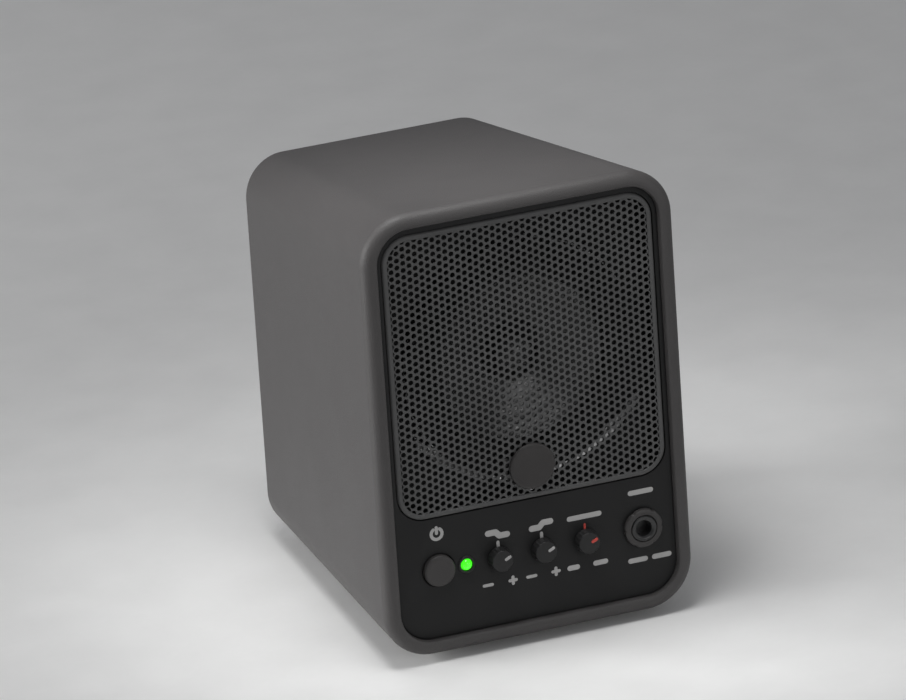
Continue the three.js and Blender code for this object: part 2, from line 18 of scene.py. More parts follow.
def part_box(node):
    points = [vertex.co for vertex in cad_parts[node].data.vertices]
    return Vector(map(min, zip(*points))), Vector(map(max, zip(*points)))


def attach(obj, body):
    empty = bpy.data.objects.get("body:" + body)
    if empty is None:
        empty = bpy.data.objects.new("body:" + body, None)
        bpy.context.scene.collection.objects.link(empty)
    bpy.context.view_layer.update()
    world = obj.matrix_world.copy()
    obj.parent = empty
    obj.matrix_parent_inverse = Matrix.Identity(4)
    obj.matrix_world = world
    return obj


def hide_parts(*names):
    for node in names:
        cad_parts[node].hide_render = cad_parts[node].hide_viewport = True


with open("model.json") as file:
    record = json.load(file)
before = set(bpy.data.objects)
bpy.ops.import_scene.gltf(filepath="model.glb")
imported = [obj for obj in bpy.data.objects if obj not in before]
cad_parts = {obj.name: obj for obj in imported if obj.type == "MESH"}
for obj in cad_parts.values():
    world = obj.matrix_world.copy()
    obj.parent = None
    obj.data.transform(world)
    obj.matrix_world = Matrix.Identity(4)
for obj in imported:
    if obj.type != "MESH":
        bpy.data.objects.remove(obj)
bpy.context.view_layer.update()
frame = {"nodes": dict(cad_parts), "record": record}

MM = 0.001
SHELL_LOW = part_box("cabinet_shell")[0]
FRONT_Y = SHELL_LOW.y
FLOOR_Z = SHELL_LOW.z

# The cabinet
WIDTH, HEIGHT, DEPTH = 131.0, 184.0, 160.0
REAR_WIDTH_SHARE, REAR_HEIGHT_SHARE = 0.83, 0.87
CORNER = 20.0
EDGE = 5.0
LIP = 6.5
WALL = 3.0

# The front
PANEL = 2.5  # depth of the baffle's face
BAFFLE_SKIN = 3.0
FLANGE = 6.3  # depth of the baffle's flange, behind the lip
POCKET_FLOOR = 9.8  # depth of the floor that the driver is fixed to
GAP = 0.3  # clearance round a fitted piece
GRILLE = {"half": 56.5, "low": 56.8, "high": 174.4, "radius": 11.0}
DRIVER_H = 114.0
CONE = 34.0  # radius of the cone's edge
BADGE_H, BADGE = 70.5, 9.4
OPENING = 40.6  # radius inside the driver's ring
CONTROL_H = 34.8
JACK_H = CONTROL_H + 0.5
BUTTON_X, LED_X, JACK_X = -41.3, -29.7, 45.0
KNOBS = {"low": -16.0, "high": 2.4, "volume": 20.7}
REAR_FACE = DEPTH + 2.1  # depth of the rear plate's outer face
LINE_JACK_X, LINE_JACK_H = 28.0, 60.0

random.seed(7)


# ---------------------------------------------------------------- geometry helpers


def at(x, d, h):
    return Vector((x * MM, FRONT_Y + d * MM, FLOOR_Z + h * MM))


def tapered(x, d, h):
    """A point of the cabinet's section at depth d, shrunk as the cabinet shrinks."""
    share = d / DEPTH
    return at(
        x * (1 - share * (1 - REAR_WIDTH_SHARE)),
        d,
        h * (1 - share * (1 - REAR_HEIGHT_SHARE)),
    )


def clean(mesh, dissolve=False):
    """Joins doubled points and turns the faces outwards."""
    bm = bmesh.new()
    bm.from_mesh(mesh)
    bmesh.ops.remove_doubles(bm, verts=bm.verts, dist=1e-7)
    if dissolve:
        bmesh.ops.dissolve_degenerate(bm, edges=bm.edges, dist=1e-8)
    bmesh.ops.recalc_face_normals(bm, faces=bm.faces)
    bm.to_mesh(mesh)
    bm.free()


def make_object(name, vertices, faces, sharp=35.0, dissolve=False):
    mesh = bpy.data.meshes.new(name)
    mesh.from_pydata([tuple(v) for v in vertices], [], faces)
    clean(mesh, dissolve)
    return finish_mesh(name, mesh, sharp)


def finish_mesh(name, mesh, sharp=35.0):
    mesh.shade_smooth()
    mesh.set_sharp_from_angle(angle=math.radians(sharp))
    piece = bpy.data.objects.new(name, mesh)
    bpy.context.scene.collection.objects.link(piece)
    return piece


def merge(name, pieces, sharp=35.0):
    """Puts several pieces in one object."""
    bm = bmesh.new()
    for piece in pieces:
        bm.from_mesh(piece.data)
        bpy.data.objects.remove(piece)
    mesh = bpy.data.meshes.new(name)
    bm.to_mesh(mesh)
    bm.free()
    return finish_mesh(name, mesh, sharp)


def rounded_rect(half, low, high, radius, corner_points=12):
    """A closed outline of [x, h] points, anticlockwise as seen from the front."""
    outline = []
    corners = [
        (half - radius, low + radius, -90),
        (half - radius, high - radius, 0),
        (radius - half, high - radius, 90),
        (radius - half, low + radius, 180),
    ]
    for x, h, start in corners:
        for i in range(corner_points + 1):
            angle = math.radians(start + 90 * i / corner_points)
            outline.append((x + radius * math.cos(angle), h + radius * math.sin(angle)))
    return outline


def circle(radius, x=0.0, h=0.0, points=48):
    turns = [2 * math.pi * i / points for i in range(points)]
    return [(x + radius * math.cos(t), h + radius * math.sin(t)) for t in turns]


def loft(name, loops, place=at, closed=True, sharp=35.0):
    """Joins outlines of equal length, each a list of (x, d, h), with quads."""
    count = len(loops[0])
    vertices = [place(*point) for loop in loops for point in loop]
    rings = len(loops) if closed else len(loops) - 1
    faces = []
    for ring in range(rings):
        a, b = ring * count, ((ring + 1) % len(loops)) * count
        for i in range(count):
            j = (i + 1) % count
            faces.append((a + i, a + j, b + j, b + i))
    if not closed:
        faces.append(tuple(range(count)))
        faces.append(tuple(reversed(range((len(loops) - 1) * count, len(loops) * count))))
    return make_object(name, vertices, faces, sharp)


def lathe(name, profile, x=0.0, h=0.0, points=64, place=at, sharp=35.0, shape=None):
    """Turns a profile of (radius, depth) about the line through (x, h). shape(angle, radius, depth)
    may change a radius."""
    loops = []
    for radius, depth in profile:
        loop = []
        for i in range(points):
            angle = 2 * math.pi * i / points
            r = shape(angle, radius, depth) if shape else radius
            loop.append((x + r * math.cos(angle), depth, h + r * math.sin(angle)))
        loops.append(loop)
    on_axis = profile[0][0] < 1e-6
    if on_axis:
        loops[0] = [(x, profile[0][1], h)] * points
    if profile[-1][0] < 1e-6:
        loops[-1] = [(x, profile[-1][1], h)] * points
    vertices = [place(*point) for loop in loops for point in loop]
    faces = []
    rings = len(loops) - 1 if on_axis else len(loops)
    for ring in range(rings):
        a, b = ring * points, ((ring + 1) % len(loops)) * points
        for i in range(points):
            j = (i + 1) % points
            faces.append((a + i, a + j, b + j, b + i))
    return make_object(name, vertices, faces, sharp, dissolve=True)


def plate(name, outline, front, back, holes=(), bevel=0.0, sharp=35.0):
    """A flat piece with holes and rounded edges, between two depths."""
    curve = bpy.data.curves.new(name, "CURVE")
    curve.dimensions = "2D"
    curve.fill_mode = "BOTH"
    curve.extrude = ((back - front) / 2 - bevel) * MM
    curve.bevel_depth = bevel * MM
    curve.offset = -bevel * MM
    curve.bevel_resolution = 2
    for loop in [outline, *[list(reversed(hole)) for hole in holes]]:
        spline = curve.splines.new("POLY")
        spline.points.add(len(loop) - 1)
        for point, (x, h) in zip(spline.points, loop):
            point.co = (x * MM, h * MM, 0, 1)
        spline.use_cyclic_u = True
    flat = bpy.data.objects.new(name + "_curve", curve)
    bpy.context.scene.collection.objects.link(flat)
    graph = bpy.context.evaluated_depsgraph_get()
    mesh = bpy.data.meshes.new_from_object(flat.evaluated_get(graph))
    bpy.data.objects.remove(flat)
    middle = at(0, (front + back) / 2, 0)
    mesh.transform(Matrix.Translation(middle) @ Matrix.Rotation(math.pi / 2, 4, "X"))
    clean(mesh)
    mesh.name = name
    return finish_mesh(name, mesh, sharp)


def carve(piece, *tools):
    """Cuts the tools out of a piece, and removes them."""
    for tool in tools:
        modifier = piece.modifiers.new("cut", "BOOLEAN")
        modifier.operation = "DIFFERENCE"
        modifier.solver = "EXACT"
        modifier.object = tool
    graph = bpy.context.evaluated_depsgraph_get()
    mesh = bpy.data.meshes.new_from_object(piece.evaluated_get(graph))
    piece.modifiers.clear()
    piece.data = mesh
    mesh.set_sharp_from_angle(angle=math.radians(35))
    for tool in tools:
        bpy.data.objects.remove(tool)
    return piece


def arc(radius_centre, depth_centre, radius, start, end, steps):
    """Profile points along an arc, angles in degrees, 0 outwards and 90 backwards."""
    angles = [math.radians(start + (end - start) * i / steps) for i in range(steps + 1)]
    return [
        (radius_centre + radius * math.cos(a), depth_centre + radius * math.sin(a))
        for a in angles
    ]


# ---------------------------------------------------------------- materials


def material(
    name,
    colour,
    roughness,
    metallic=0.0,
    grain=0.0003,
    bump=0.1,
    cells=False,
    variation=0.12,
    cloud=0.03,
    dust=0.0,
    coat=0.0,
    specular=0.5,
    stretch=(1, 1, 1),
    roughness_change=0.12,
):
    """A procedural surface: cloudy colour, changing gloss, a fine grain in relief and, if asked,
    dust on what faces up. Sizes are in metres; stretch makes a brushed or woven direction."""
    result = bpy.data.materials.new(name)
    result.use_nodes = True
    tree = result.node_tree
    nodes, link = tree.nodes, tree.links.new
    shader = nodes["Principled BSDF"]
    shader.inputs["Metallic"].default_value = metallic
    shader.inputs["Specular IOR Level"].default_value = specular
    shader.inputs["Coat Weight"].default_value = coat
    shader.inputs["Coat Roughness"].default_value = 0.25

    place = nodes.new("ShaderNodeTexCoord").outputs["Object"]

    def noise(size, detail, stretched=False):
        texture = nodes.new("ShaderNodeTexNoise")
        texture.inputs["Scale"].default_value = 1 / size
        texture.inputs["Detail"].default_value = detail
        if stretched:
            mapping = nodes.new("ShaderNodeMapping")
            mapping.inputs["Scale"].default_value = stretch
            link(place, mapping.inputs["Vector"])
            link(mapping.outputs["Vector"], texture.inputs["Vector"])
        else:
            link(place, texture.inputs["Vector"])
        return texture.outputs["Fac"]

    def remap(value, low, high):
        node = nodes.new("ShaderNodeMapRange")
        node.inputs["From Min"].default_value = 0.3
        node.inputs["From Max"].default_value = 0.7
        node.inputs["To Min"].default_value = low
        node.inputs["To Max"].default_value = high
        link(value, node.inputs["Value"])
        return node.outputs["Result"]

    clouds = noise(cloud, 4)
    if cells:
        texture = nodes.new("ShaderNodeTexVoronoi")
        texture.inputs["Scale"].default_value = 1 / grain
        link(place, texture.inputs["Vector"])
        fine = texture.outputs["Distance"]
    else:
        fine = noise(grain, 2, stretched=True)

    ramp = nodes.new("ShaderNodeValToRGB")
    ramp.color_ramp.elements[0].position = 0.32
    ramp.color_ramp.elements[1].position = 0.68
    ramp.color_ramp.elements[0].color = (*[c * (1 - variation) for c in colour], 1)
    ramp.color_ramp.elements[1].color = (*[min(1, c * (1 + variation)) for c in colour], 1)
    link(clouds, ramp.inputs["Fac"])

    speckle = nodes.new("ShaderNodeMix")
    speckle.data_type = "RGBA"
    speckle.blend_type = "MULTIPLY"
    speckle.inputs[0].default_value = 1.0
    link(ramp.outputs["Color"], speckle.inputs[6])
    link(remap(fine, 1 - variation, 1.0), speckle.inputs[7])
    colour_out = speckle.outputs[2]

    if dust > 0:
        normal = nodes.new("ShaderNodeNewGeometry").outputs["Normal"]
        split = nodes.new("ShaderNodeSeparateXYZ")
        link(normal, split.inputs["Vector"])
        up = nodes.new("ShaderNodeMapRange")
        up.inputs["From Min"].default_value = 0.4
        up.inputs["To Max"].default_value = dust
        link(split.outputs["Z"], up.inputs["Value"])
        patchy = nodes.new("ShaderNodeMath")
        patchy.operation = "MULTIPLY"
        link(up.outputs["Result"], patchy.inputs[0])
        link(remap(noise(cloud / 3, 6), 0.4, 1.0), patchy.inputs[1])
        dusted = nodes.new("ShaderNodeMix")
        dusted.data_type = "RGBA"
        dusted.inputs[7].default_value = (0.32, 0.31, 0.29, 1)
        link(patchy.outputs[0], dusted.inputs[0])
        link(colour_out, dusted.inputs[6])
        colour_out = dusted.outputs[2]

    link(colour_out, shader.inputs["Base Color"])
    link(
        remap(
            clouds,
            max(0.02, roughness - roughness_change),
            min(1.0, roughness + roughness_change),
        ),
        shader.inputs["Roughness"],
    )
    relief = nodes.new("ShaderNodeBump")
    relief.inputs["Strength"].default_value = bump
    relief.inputs["Distance"].default_value = grain
    link(fine, relief.inputs["Height"])
    link(relief.outputs["Normal"], shader.inputs["Normal"])
    return result


def glowing(name, colour, strength):
    result = material(name, colour, 0.15, grain=0.0008, bump=0.02, variation=0.05, coat=0.6)
    shader = result.node_tree.nodes["Principled BSDF"]
    shader.inputs["Emission Color"].default_value = (*colour, 1)
    shader.inputs["Emission Strength"].default_value = strength
    return result


METAL = {"metallic": 1.0, "variation": 0.06}
LOOKS = {
    "cabinet": material(
        "cabinet_plastic",
        (0.0575, 0.0545, 0.0543),
        0.5,
        grain=0.00045,
        bump=0.25,
        cells=True,
        variation=0.035,
        cloud=0.05,
        dust=0.015,
        specular=0.35,
        roughness_change=0.04,
    ),
    "baffle": material(
        "baffle_plastic",
        (0.0145, 0.0145, 0.0147),
        0.5,
        grain=0.0003,
        bump=0.08,
        variation=0.08,
        specular=0.18,
    ),
    "grille": material(
        "grille_paint",
        (0.08, 0.08, 0.0802),
        0.5,
        grain=0.00012,
        bump=0.15,
        cells=True,
        specular=0.3,
    ),
    "badge": material(
        "badge_plate",
        (0.043, 0.0405, 0.04),
        0.45,
        0.2,
        grain=0.00012,
        stretch=(1, 1, 12),
        bump=0.12,
        specular=0.3,
    ),
    "knob": material(
        "knob_plastic", (0.0155, 0.0155, 0.0158), 0.5, grain=0.0002, bump=0.15, specular=0.3
    ),
    "button": material(
        "button_plastic",
        (0.046, 0.0435, 0.043),
        0.5,
        grain=0.0002,
        bump=0.1,
        cells=True,
        specular=0.3,
    ),
    "rubber": material("rubber", (0.013, 0.013, 0.013), 0.75, grain=0.0002, bump=0.25, dust=0.05),
    "paper": material(
        "cone_pulp",
        (0.006, 0.006, 0.0063),
        0.25,
        grain=0.0009,
        bump=0.06,
        stretch=(1, 3, 1),
        variation=0.2,
        coat=0.7,
        specular=0.8,
    ),
    "lens": glowing("led_lens", (0.03, 0.5, 0.008), 2.0),
    "steel": material(
        "plated_steel", (0.5, 0.5, 0.5), 0.3, grain=0.0002, stretch=(1, 10, 1), **METAL
    ),
    "zinc": material(
        "zinc_plate", (0.52, 0.53, 0.5), 0.36, grain=0.0003, cells=True, cloud=0.006, **METAL
    ),
    "aluminium": material(
        "black_anodised",
        (0.03, 0.03, 0.032),
        0.42,
        0.7,
        grain=0.0002,
        stretch=(1, 1, 14),
        bump=0.12,
        dust=0.04,
    ),
    "ferrite": material("ferrite", (0.035, 0.032, 0.031), 0.8, grain=0.0004, bump=0.4),
    "copper": material(
        "enamelled_copper",
        (0.62, 0.24, 0.1),
        0.28,
        grain=0.0004,
        stretch=(0.3, 0.3, 6),
        bump=0.6,
        **METAL,
    ),
    "board": material(
        "circuit_board",
        (0.02, 0.12, 0.045),
        0.35,
        grain=0.0016,
        cells=True,
        bump=0.08,
        variation=0.25,
        cloud=0.004,
        coat=0.4,
    ),
    "plastic": material("black_plastic", (0.019, 0.019, 0.0195), 0.38, grain=0.0002, bump=0.1),
    "red": material("red_sleeve", (0.42, 0.02, 0.015), 0.4, grain=0.0005, bump=0.05),
    "wadding": material(
        "polyester_fibre",
        (0.7, 0.69, 0.65),
        0.95,
        grain=0.0012,
        bump=0.9,
        stretch=(5, 1, 1),
        variation=0.15,
    ),
}
PRINT_WHITE = material("print_white", (0.38, 0.375, 0.37), 0.6, grain=0.0001, variation=0.05)
PRINT_RED = material("print_red", (0.5, 0.05, 0.035), 0.55, grain=0.0001, variation=0.05)
# The crescent and the collar get a lighter satin than the dark ring round the driver. Part of that
# lightness is a painted highlight, added to the real light their sloped faces catch.
TRIM_PAINTED_HIGHLIGHT = material(
    "trim_satin_painted_highlight", (0.21, 0.207, 0.205), 0.32, grain=0.0003, bump=0.05, coat=1.0, specular=1.0
)
FUSE_GLASS = material("fuse_glass", (0.75, 0.78, 0.78), 0.08, grain=0.002, bump=0.01, coat=0.8)

for entry in frame["record"]["subparts"]:
    node = frame["nodes"][entry["node"]]
    node.data.materials.clear()
    node.data.materials.append(LOOKS[entry["material_slot"]])


def dress(piece, look, body="housing", nodes=()):
    """Gives a piece its finish, ties it to a CAD body and hides the CAD nodes it stands for."""
    piece.data.materials.clear()
    piece.data.materials.append(LOOKS[look] if isinstance(look, str) else look)
    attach(piece, body)
    if nodes:
        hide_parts(*nodes)
    return piece


# ---------------------------------------------------------------- cabinet


def cabinet_section(inset, depth):
    radius = CORNER - inset
    outline = rounded_rect(WIDTH / 2 - inset, inset, HEIGHT - inset, radius, 16)
    return [(x, depth, h) for x, h in outline]


def cabinet():
    fillet = arc(EDGE, EDGE, EDGE, 270, 180, 10)  # from the front face to the side
    rear_edge = [(0.0, DEPTH - 0.9), (0.25, DEPTH - 0.3), (0.8, DEPTH)]
    profile = [
        (LIP, 6.0),
        (LIP, 0.9),
        (LIP - 0.25, 0.3),
        (LIP - 0.8, 0.0),
        *fillet,
        *rear_edge,
        (WALL - 0.5, DEPTH),
        (WALL, DEPTH - 0.5),
        (WALL, 6.0),
    ]
    shell = loft("cabinet", [cabinet_section(i, d) for i, d in profile], tapered)
    low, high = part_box("stand_insert")
    middle, radius = (low + high) / 2, 8.3 * MM
    bm = bmesh.new()
    bmesh.ops.create_cone(
        bm, cap_ends=True, segments=48, radius1=radius, radius2=radius, depth=20 * MM
    )
    mesh = bpy.data.meshes.new("insert_hole")
    bm.to_mesh(mesh)
    bm.free()
    mesh.transform(Matrix.Translation((middle.x, middle.y, low.z)))
    return carve(shell, finish_mesh("insert_hole", mesh))


dress(cabinet(), "cabinet", nodes=["cabinet_shell"])

# ---------------------------------------------------------------- baffle


def grille_outline(inset):
    return rounded_rect(
        GRILLE["half"] - inset,
        GRILLE["low"] + inset,
        GRILLE["high"] - inset,
        GRILLE["radius"] - inset,
    )


def baffle():
    """A face with the control holes, a flange behind the lip and a pocket for the grille."""
    inset = LIP + GAP
    outline = rounded_rect(WIDTH / 2 - inset, inset, HEIGHT - inset, CORNER - inset)
    pocket = grille_outline(-GAP)
    pocket_outside = rounded_rect(
        GRILLE["half"] + 1.3, GRILLE["low"] - 2, GRILLE["high"] + 1.3, GRILLE["radius"] + 1.3
    )
    control_holes = [
        circle(6.8, BUTTON_X, CONTROL_H),
        circle(2.75, LED_X, CONTROL_H, 32),
        *[circle(3.4, x, CONTROL_H, 32) for x in KNOBS.values()],
        circle(5.6, JACK_X, JACK_H, 40),
    ]
    face = plate("face", outline, PANEL, PANEL + BAFFLE_SKIN, [pocket, *control_holes], 0.35)
    flange = plate(
        "flange",
        rounded_rect(WIDTH / 2 - 4.2, 4.2, HEIGHT - 6.4, CORNER - 5),
        FLANGE,
        FLANGE + BAFFLE_SKIN,
        [rounded_rect(58.5, 10, 175.6, 12)],
    )
    wall = plate("wall", pocket_outside, 5.0, POCKET_FLOOR + 0.6, [pocket])
    driver_hole = circle(41.5, 0, DRIVER_H, 96)
    floor_back = POCKET_FLOOR + BAFFLE_SKIN
    floor = plate("floor", pocket_outside, POCKET_FLOOR, floor_back, [driver_hole], 0.3)
    return merge("baffle", [face, flange, wall, floor])


dress(baffle(), "baffle", nodes=["front_baffle"])

# ---------------------------------------------------------------- grille


def perforated_sheet(pitch=2.9, hole=1.06, front=2.38, back=3.2):
    """A sheet of hexagonal cells, each with a hole. Neighbouring cells share their corners."""
    side = pitch / math.sqrt(3)
    margin = side + 0.2
    half = GRILLE["half"] - margin
    low, high = GRILLE["low"] + margin, GRILLE["high"] - margin
    radius = GRILLE["radius"] - margin

    def inside(x, h):
        if abs(x) > half or not low < h < high:
            return False
        cx = max(abs(x) - (half - radius), 0)
        ch = max(h - (high - radius), (low + radius) - h, 0)
        return math.hypot(cx, ch) <= radius

    ring = [math.radians(30 * i) for i in range(12)]
    corner = [side if i % 2 == 0 else pitch / 2 for i in range(12)]
    vertices, faces = [], []
    middle = (GRILLE["low"] + GRILLE["high"]) / 2
    columns = int(GRILLE["half"] / (1.5 * side)) + 1
    rows = int((GRILLE["high"] - GRILLE["low"]) / pitch) + 1
    for column in range(-columns, columns + 1):
        for row in range(-rows, rows + 1):
            x = column * 1.5 * side
            h = middle + (row + 0.5 * (column % 2)) * pitch
            if not inside(x, h):
                continue
            base = len(vertices)
            for depth in (front, back):
                for reach in (corner, [hole] * 12):
                    for angle, r in zip(ring, reach):
                        vertices.append(at(x + r * math.cos(angle), depth, h + r * math.sin(angle)))
            for i in range(12):
                j = (i + 1) % 12
                outer, inner, far_outer, far_inner = (base + 12 * k for k in range(4))
                faces.append((outer + i, outer + j, inner + j, inner + i))
                faces.append((far_outer + j, far_outer + i, far_inner + i, far_inner + j))
                faces.append((inner + i, inner + j, far_inner + j, far_inner + i))
    mesh = bpy.data.meshes.new("sheet")
    mesh.from_pydata([tuple(v) for v in vertices], [], faces)
    bm = bmesh.new()
    bm.from_mesh(mesh)
    bmesh.ops.remove_doubles(bm, verts=bm.verts, dist=1e-6)
    bm.to_mesh(mesh)
    bm.free()
    return finish_mesh("sheet", mesh)


def grille():
    """The sheet and the folded edge round it."""
    edge = [
        (2.2, 3.4),
        (2.2, 2.35),
        (2.05, 2.2),
        *arc(1.1, 3.3, 1.1, 270, 180, 6),
        (0.0, 7.7),
        (1.2, 7.7),
        (1.2, 3.4),
    ]
    loops = []
    for inset, depth in edge:
        loops.append([(x, depth, h) for x, h in grille_outline(inset)])
    return merge("grille", [loft("frame", loops), perforated_sheet()])


dress(grille(), "grille", nodes=["speaker_grille"])


def badge():
    """A blank disc with a rounded rim and a shallow dish."""
    profile = [
        (0, 0.85),
        (7.4, 0.75),
        (7.9, 0.62),
        (8.7, 0.62),
        (9.15, 0.75),
        (BADGE, 1.05),
        (BADGE, 1.9),
        (0, 1.9),
    ]
    return lathe("badge", profile, 0, BADGE_H, 96)


dress(badge(), "badge", nodes=["grille_badge"])

# ---------------------------------------------------------------- driver


def trim_ring():
    """The flange ring round the driver."""
    profile = [
        (OPENING, 6.2),
        (OPENING, 5.7),
        (41.0, 5.4),
        (43.6, 4.9),
        (45.6, 4.5),
        (47.5, 4.3),
        (48.2, 4.4),
        (48.4, 4.8),
        (48.4, 6.2),
    ]
    return lathe("ring", profile, 0, DRIVER_H, 128)


def crescent():
    """A curved blade between two arcs, widest in the middle. Its face slopes back to the driver."""
    half, steps = 46.8, 48
    front, back, edge_depth = 3.95, 6.1, 4.3
    low_radius, low_centre = 60.5, DRIVER_H + 11.3
    high_radius, high_centre = 63.5, DRIVER_H + 19.5
    slope = math.tan(math.radians(19))
    loops = []
    for i in range(steps + 1):
        x = half * (2 * i / steps - 1)
        low = low_centre - math.sqrt(low_radius**2 - x * x)
        high = high_centre - math.sqrt(high_radius**2 - x * x)
        edge = min(0.4, (high - low) / 4)
        fall = (high - low - edge) * slope
        loops.append(
            [
                (x, back, low),
                (x, edge_depth, low),
                (x, front, low + edge),
                (x, front + fall, high),
                (x, back, high),
            ]
        )
    return loft("crescent", loops, closed=False)


def collar():
    """The round seat behind the badge: its dished rim shows under it."""
    rim = BADGE + 1.8
    profile = [(0, 4.9), (rim - 2.8, 4.8), (rim - 0.4, 3.95), (rim, 4.3), (rim, 6.15), (0, 6.15)]
    seat = lathe("collar", profile, 0, BADGE_H, 72)
    hole = [(0, 0), (OPENING, 0), (OPENING, 10), (0, 10)]
    return carve(seat, lathe("opening", hole, 0, DRIVER_H, 96))


dress(trim_ring(), "baffle", nodes=["driver_trim_ring"])
# The crescent and collar are lighter than the ring. Their colour is partly a painted highlight.
dress(merge("trim", [crescent(), collar()]), TRIM_PAINTED_HIGHLIGHT)


def cone():
    def depth_at(radius):
        return 15.8 - 7.8 * ((radius - neck) / (CONE - neck)) ** 0.85

    neck = 10.6
    radii = [neck + (CONE - neck) * i / 20 for i in range(21)]
    front = [(r, depth_at(r) - (0.12 if i in (7, 12, 17) else 0)) for i, r in enumerate(radii)]
    back = [(r, depth_at(r) + 0.8) for r in reversed(radii)]
    return lathe("cone", front + back, 0, DRIVER_H, 96, sharp=60)


def dust_cap():
    outside = arc(0, 19.3, 13, -90, -22, 14)
    inside = arc(0, 19.3, 12.4, -22, -90, 14)
    outside[0] = (0, outside[0][1])
    inside[-1] = (0, inside[-1][1])
    return lathe("dust_cap", outside + inside, 0, DRIVER_H, 72, sharp=60)


def surround():
    middle = CONE + 3.4
    profile = [
        (CONE - 0.7, 7.2),
        (middle - 2.3, 7.2),
        *arc(middle, 7, 2.3, 180, 360, 14),
        (middle + 2.3, 6.5),
        (42.2, 6.5),
        (42.2, 6.95),
        (middle + 2.2, 6.95),
        *arc(middle, 7, 1.85, 360, 180, 14),
        (middle - 1.9, 7.65),
        (CONE - 0.7, 7.65),
    ]
    return lathe("surround", profile, 0, DRIVER_H, 96, sharp=60)


dress(cone(), "paper", "cone", ["driver_cone"])
dress(dust_cap(), "paper", "cone", ["driver_dust_cap"])
dress(surround(), "rubber", nodes=["driver_surround"])

# ---------------------------------------------------------------- controls


def power_button():
    dish = [(0, 1.0), (2.5, 0.92), (4.2, 0.72), (4.9, 0.6)]
    edge = arc(5.5, 1.6, 1.0, 270, 360, 6)
    rest = [(6.5, 5.8), (7.6, 5.8), (7.6, 6.8), (1.6, 6.8), (1.6, 12.5), (0, 12.5)]
    return lathe("button", dish + edge + rest, BUTTON_X, CONTROL_H, 72)


def led():
    dome = arc(0, 3.2, 2.45, -90, -6, 8)
    dome[0] = (0, dome[0][1])
    return lathe("led", [*dome, (2.45, 15.7), (0, 15.7)], LED_X, CONTROL_H, 40)


def led_ring():
    profile = [(2.5, 2.2), (2.7, 1.9), (3.3, 1.9), (3.7, 2.3), (3.7, 2.5), (2.5, 2.5)]
    return lathe("led_ring", profile, LED_X, CONTROL_H, 48)


def knob(name, x):
    def flutes(angle, radius, depth):
        if radius < 4.3 or depth > 1.9:
            return radius
        return radius * (1 - 0.035 * max(0.0, math.cos(18 * angle)))

    profile = [
        (0, -2.1),
        (3.9, -2.1),
        (4.2, -2.05),
        (4.5, -1.75),
        (4.55, 1.2),
        (4.8, 1.6),
        (4.8, 2.2),
        (3.35, 2.2),
        (3.35, -0.9),
        (0, -0.9),
    ]
    return lathe(name, profile, x, CONTROL_H, 108, shape=flutes)


def pointer(name, x):
    """A raised line on a knob's face, from near its middle out to its rim, a little above three."""
    turned = math.radians(25)
    outline = rounded_rect(1.5, -0.6, 0.6, 0.55, 5)
    moved = [
        (
            x + (2.3 + px) * math.cos(turned) - ph * math.sin(turned),
            CONTROL_H + (2.3 + px) * math.sin(turned) + ph * math.cos(turned),
        )
        for px, ph in outline
    ]
    return plate(name, moved, -2.3, -2.0, bevel=0.08)


dress(power_button(), "button", "power_push", ["power_button"])
dress(led(), "lens", nodes=["power_led"])
dress(led_ring(), "knob")
for name, x in KNOBS.items():
    dress(knob(name + "_cap", x), "knob", name + "_control", [name + "_knob"])
    dress(
        pointer(name + "_pointer", x),
        PRINT_RED if name == "volume" else PRINT_WHITE,
        name + "_control",
    )


def jack(name, panel_back, place):
    """A threaded nose through the panel, open for the plug, and a square body behind it."""
    nose = lathe(
        name + "_nose",
        [
            (3.25, panel_back + 19),
            (3.25, 0.9),
            (3.9, 0.35),
            (4.3, 0.2),
            (4.9, 0.2),
            (5.2, 0.5),
            (5.2, panel_back + 0.3),
            (4.5, panel_back + 19),
        ],
        points=56,
        place=place,
    )
    loops = []
    front, back = panel_back + 0.3, panel_back + 21
    outline = rounded_rect(8, -9, 9, 1.2, 4)
    for depth in (front, back):
        loops.append([(x, depth, h) for x, h in outline])
    body = loft(name + "_body", loops, place, closed=False)
    return merge(name, [nose, body])


def jack_nut(name, front, back, place):
    profile = [
        (5.4, back),
        (5.4, front + 0.3),
        (5.7, front),
        (7.2, front),
        (7.8, front + 0.35),
        (8.0, front + 0.8),
        (8.0, back),
    ]

    def notches(angle, radius, depth):
        return radius - 0.35 * max(0.0, math.cos(6 * angle)) ** 12 if radius > 7.1 else radius

    return lathe(name, profile, points=144, place=place, shape=notches)


def on_front(x, d, h):
    return at(JACK_X + x, d, JACK_H + h)


def on_rear(x, d, h):
    return at(LINE_JACK_X - x, REAR_FACE - d, LINE_JACK_H + h)


NUT_FRONT, NUT_BACK = 0.5, 2.2
for side, panel_back, place in (("input", 5.5, on_front), ("line", 4.5, on_rear)):
    dress(jack(side + "_socket", panel_back, place), "plastic", nodes=[side + "_jack"])
    nut = jack_nut(side + "_nut", NUT_FRONT, NUT_BACK, place)
    dress(nut, "button", nodes=[side + "_jack_nut"])

# ---------------------------------------------------------------- printed marks


def strokes(name, lines, width, depth=PANEL, lift=0.06):
    """Printed lines: each a list of points that a round-ended pen of that width follows."""
    pens = []
    for index, line in enumerate(lines):
        for (x0, h0), (x1, h1) in zip(line, line[1:]):
            angle = math.atan2(h1 - h0, x1 - x0)
            outline = []
            for centre, start in (((x1, h1), -90), ((x0, h0), 90)):
                for i in range(7):
                    turn = angle + math.radians(start + 180 * i / 6)
                    outline.append(
                        (
                            centre[0] + width / 2 * math.cos(turn),
                            centre[1] + width / 2 * math.sin(turn),
                        )
                    )
            step = 0.004 * (len(pens) % 6)  # so that crossing strokes have no common face
            pens.append(plate(f"{name}_{index}", outline, depth - lift - step, depth + 0.02))
    return merge(name, pens)


def arc_line(x, h, radius, start, end, steps=14):
    angles = [math.radians(start + (end - start) * i / steps) for i in range(steps + 1)]
    return [(x + radius * math.cos(a), h + radius * math.sin(a)) for a in angles]


